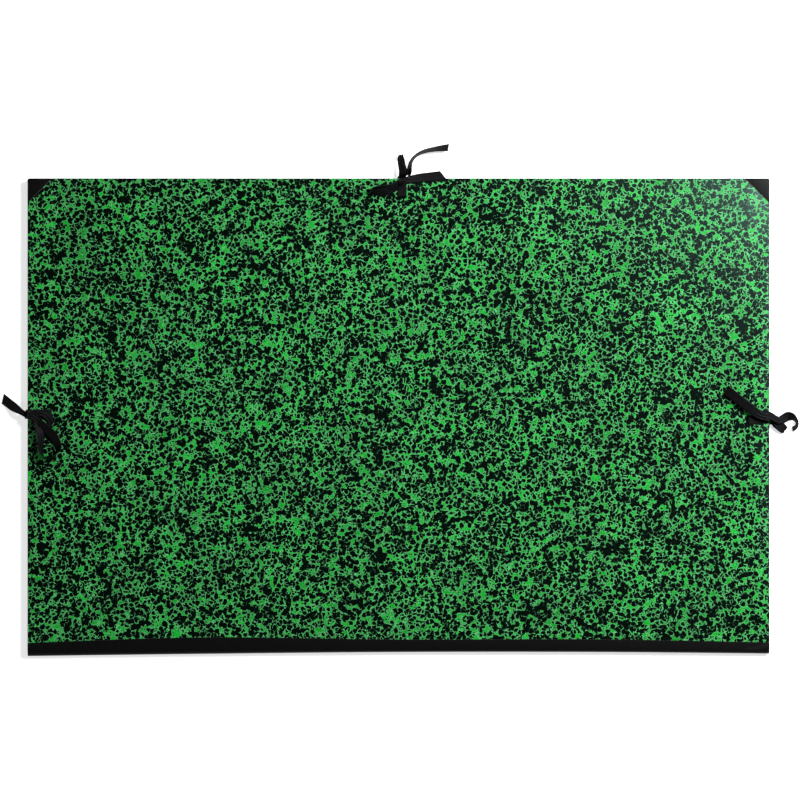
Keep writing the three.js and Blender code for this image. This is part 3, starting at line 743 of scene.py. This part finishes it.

# %% [markdown]
# The green under the ink is deeper in some places than in others, and the thin veins are paler than the
# pools. Along the outline, where the paper turns over the board's edge, the colour is darkened almost to
# black as painted shade. The surface is slightly glossy, with the ink standing a few thousandths of a
# millimetre proud.

# %% Marbled paper
INK = (0.0006, 0.0026, 0.0013, 1)
EDGE_PAINTED_SHADE = (0.002, 0.003, 0.003, 1)
GREEN = (0.003, 0.37, 0.02, 1)
DEEP_GREEN = (0.002, 0.25, 0.012, 1)
PALE_VEIN = (0.2, 0.56, 0.28, 1)
HUE_LUMP = 70 * MM
GRAIN_LUMP = 0.5 * MM
EDGE_SHADE_START = 1.5 * MM
EDGE_SHADE_END = 0.2 * MM
RELIEF = 0.008 * MM

hue = marble.noise(spot, HUE_LUMP, 1)
green = marble.mix(hue.step_up(0.3, 0.7), DEEP_GREEN, GREEN)
vein_colour = marble.mix(depth.step_up(-0.11, -0.01) * 0.6, green, PALE_VEIN)
x, y, _ = marble.parts(spot)
to_outline = (HALF_WIDTH - abs(x)).least(FORE_EDGE - y)
# Painted shade: the colour darkens towards black within 1.5 mm of the outline, where the board's edge falls
# into shade.
painted_edge_shade = 1 - to_outline.step_up(EDGE_SHADE_END, EDGE_SHADE_START)
printed = marble.mix(ink, vein_colour, INK)
marble.feed("Base Color", marble.mix(painted_edge_shade * 0.8, printed, EDGE_PAINTED_SHADE))
marble.feed("Roughness", 0.23 + clumps * 0.08 + (1 - ink) * 0.06)
marble.bump(ink * 0.4 + marble.noise(spot, GRAIN_LUMP, 1), RELIEF)
for piece in papers:
    paint(piece, marble)
print("marbled", [piece.name for piece in papers])

# %% [markdown]
# Bookcloth is a plain weave filled with starch: two sets of threads that pass over and under each other.
# Waves along X, and along Y and Z together so that they carry on round the spine, stand one thread apart
# and give the weave's height. Slow noise bends the threads and makes them thick and thin as real yarn is.
# The cloth inside the hinge is coarser, greyer and more matt.

# %% Woven cloth
THREAD = 0.55 * MM
COARSE_THREAD = 0.7 * MM
DRIFT = 0.4 * MM
WEAVE_RELIEF = 0.025 * MM


def woven(name, dark, light, thread, roughness):
    """A finish of plain woven cloth between two tones."""
    cloth = Finish(name, Sheen_Weight=0.005, Sheen_Roughness=0.4, Specular_IOR_Level=0.14)
    spot = cloth.place()
    x, y, z = cloth.parts(spot)
    turn = 2 * math.pi / thread
    warp = ((x + cloth.noise(spot, 6 * MM, 1) * DRIFT) * turn).sine()
    weft = ((y + z + cloth.noise(spot, 7 * MM, 1) * DRIFT) * turn).sine()
    weave = warp * weft
    slub = cloth.noise(spot, 2.5 * MM, 2)
    tone = (weave * 0.25 + 0.5) * 0.6 + slub * 0.4
    cloth.feed("Base Color", cloth.mix(tone.step_up(0.25, 0.75), dark, light))
    cloth.feed("Roughness", roughness + slub * 0.12)
    cloth.bump(weave * 0.5 + slub * 0.4, WEAVE_RELIEF)
    return cloth


BLACK = (0.0003, 0.0003, 0.0004, 1)
WORN_BLACK = (0.0024, 0.0021, 0.0023, 1)
CHARCOAL = (0.006, 0.006, 0.007, 1)
WORN_CHARCOAL = (0.04, 0.04, 0.043, 1)
bookcloth = woven("bookcloth_finish", BLACK, WORN_BLACK, THREAD, 0.38)
hinge_cloth = woven("hinge_cloth_finish", CHARCOAL, WORN_CHARCOAL, COARSE_THREAD, 0.75)
for piece in cloths:
    paint(piece, hinge_cloth if piece.name.startswith("spine_lining") else bookcloth)
print("cloth on", [piece.name for piece in cloths])

# %% [markdown]
# The ribbon is a cotton tape with fine ribs across it and a firm edge on each side. Its pattern reads the
# UV map, in metres, so the ribs stay square to the tape round every fold. The edges are painted a little
# lighter, a painted highlight for the shine where the yarn turns back.

# %% Ribbon tape
RIB = 0.7 * MM
YARN = 0.9 * MM
SELVEDGE_START = 6.4 * MM
SELVEDGE_FULL = 7.1 * MM
TAPE_BLACK = (0.0006, 0.0006, 0.0008, 1)
RIB_BLACK = (0.003, 0.003, 0.0036, 1)
SELVEDGE_PAINTED_HIGHLIGHT = (0.006, 0.006, 0.007, 1)
RIB_RELIEF = 0.04 * MM

tape = Finish("ribbon_finish", Sheen_Weight=0.005, Sheen_Roughness=0.35, Specular_IOR_Level=0.1)
across, along, _ = tape.parts(tape.place("UV"))
ribs = (along * (2 * math.pi / RIB)).sine()
yarns = (across * (2 * math.pi / YARN)).sine()
selvedge = abs(across).step_up(SELVEDGE_START, SELVEDGE_FULL)
uneven = tape.noise(tape.place(), 5 * MM, 2)
body_tone = tape.mix((ribs * 0.3 + uneven).step_up(0.2, 0.9), TAPE_BLACK, RIB_BLACK)
# Painted highlight: the tape's colour turns lighter towards both edges, for the shine where the yarn turns
# back.
tape.feed("Base Color", tape.mix(selvedge * 0.5, body_tone, SELVEDGE_PAINTED_HIGHLIGHT))
tape.feed("Roughness", 0.5 + uneven * 0.15)
tape.bump(ribs * 0.5 + yarns * 0.2 + selvedge * 0.5, RIB_RELIEF)
for piece in ribbons.values():
    paint(piece, tape)
print("tape on", len(ribbons), "ribbons")

# %% [markdown]
# Inside, each cover is faced with plain charcoal paper. It is matt, with a faint fibre and a slight
# mottle. The greyboard underneath shows only in the slits: it is pressed from waste paper, so it is an
# uneven grey with darker flecks.

# %% Lining paper and greyboard
LINING_DARK = (0.035, 0.037, 0.04, 1)
LINING_LIGHT = (0.06, 0.062, 0.066, 1)
BOARD_DARK = (0.045, 0.043, 0.04, 1)
BOARD_LIGHT = (0.12, 0.115, 0.105, 1)
BOARD_FLECK = (0.06, 0.06, 0.07, 1)

lining = Finish("lining_finish", Specular_IOR_Level=0.3)
spot = lining.place()
fibre = lining.noise(spot, 0.9 * MM, 4)
mottle = lining.noise(spot, 35 * MM, 3)
shade = (fibre * 0.5 + mottle * 0.5).step_up(0.3, 0.7)
lining.feed("Base Color", lining.mix(shade, LINING_DARK, LINING_LIGHT))
lining.feed("Roughness", 0.78 + fibre * 0.12)
lining.bump(fibre, 0.06 * MM)

greyboard = Finish("greyboard_finish", Specular_IOR_Level=0.25)
spot = greyboard.place()
pulp = greyboard.noise(spot, 1.6 * MM, 5)
flecks = greyboard.noise(spot, 0.6 * MM, 1).step_up(0.62, 0.7)
grey = greyboard.mix(pulp, BOARD_DARK, BOARD_LIGHT)
greyboard.feed("Base Color", greyboard.mix(flecks * 0.6, grey, BOARD_FLECK))
greyboard.feed("Roughness", 0.85 + pulp * 0.1)
greyboard.bump(pulp, 0.1 * MM)

for side in ("front", "back"):
    paint(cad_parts[f"{side}_lining"], lining)
    paint(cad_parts[f"{side}_board"], greyboard)
print("linings and boards are finished")

# %% [markdown]
# The floor is a plain pale sheet that takes the portfolio's shadow. The photograph's ground is pure white,
# so the floor also glows, but only as the camera and mirrored light see it: the object is lit no more for
# that, and its shadow stays.

# %% Floor
FLOOR_REACH = 12
FLOOR_GLOW = 0.62
WHITE = (1, 1, 1, 1)
NO_LIGHT = (0, 0, 0, 1)

bpy.ops.object.select_all(action="DESELECT")
bpy.ops.mesh.primitive_plane_add(size=FLOOR_REACH)
floor = bpy.context.active_object
floor.name = "floor"
ground = Finish("floor_finish", Roughness=0.9, Specular_IOR_Level=0.1, Base_Color=(0.86, 0.86, 0.86, 1))
rays = ground.tree.nodes.new("ShaderNodeLightPath")
seen = Value(ground, rays.outputs["Is Camera Ray"])
mirrored = Value(ground, rays.outputs["Is Glossy Ray"])
glow = seen.math("MAXIMUM", seen, mirrored)
ground.shader.inputs["Emission Strength"].default_value = FLOOR_GLOW
ground.feed("Emission Color", ground.mix(glow, NO_LIGHT, WHITE))
paint(floor, ground)
print("floor", FLOOR_REACH, "m across")

# %% [markdown]
# A large soft light stands to the right, beyond the fore edge, as in the photograph, where the right side
# is brighter and the far right corner carries a soft sheen. A weak one fills the left. The world is
# brighter round the sides than overhead, where the camera would see it mirrored, so the ink stays deep
# black from above.

# %% World and lights
SKY_RAMP = {"From Min": 0.55, "From Max": 0.95, "To Min": 0.3, "To Max": 0.015}

world = bpy.data.worlds.new("studio")
bpy.context.scene.world = world
world.use_nodes = True
sky = world.node_tree
sky_place = sky.nodes.new("ShaderNodeTexCoord")
sky_parts = sky.nodes.new("ShaderNodeSeparateXYZ")
sky_ramp = sky.nodes.new("ShaderNodeMapRange")
sky_ramp.interpolation_type = "SMOOTHSTEP"
for socket, value in SKY_RAMP.items():
    sky_ramp.inputs[socket].default_value = value
sky.links.new(sky_place.outputs["Generated"], sky_parts.inputs[0])
sky.links.new(sky_parts.outputs["Z"], sky_ramp.inputs["Value"])
sky.links.new(sky_ramp.outputs["Result"], sky.nodes["Background"].inputs["Strength"])
sky.nodes["Background"].inputs["Color"].default_value = WHITE


def soft_light(name, place, size, power, colour):
    """A round area light that looks at the middle of the portfolio."""
    data = bpy.data.lights.new(name, "AREA")
    data.shape = "DISK"
    data.size = size
    data.energy = power
    data.color = colour
    light = bpy.data.objects.new(name, data)
    bpy.context.scene.collection.objects.link(light)
    light.location = place
    light.rotation_euler = (-Vector(place)).to_track_quat("-Z", "Y").to_euler()
    print(name, "light of", power, "W")


soft_light("key", (1.9, 1.25, 2.4), 1.1, 175, (0.95, 0.98, 1.0))
soft_light("fill", (-3.4, -1.6, 2.2), 1.8, 14, (1, 1, 1))
bpy.context.scene.view_settings.view_transform = "Standard"
print("studio is lit")
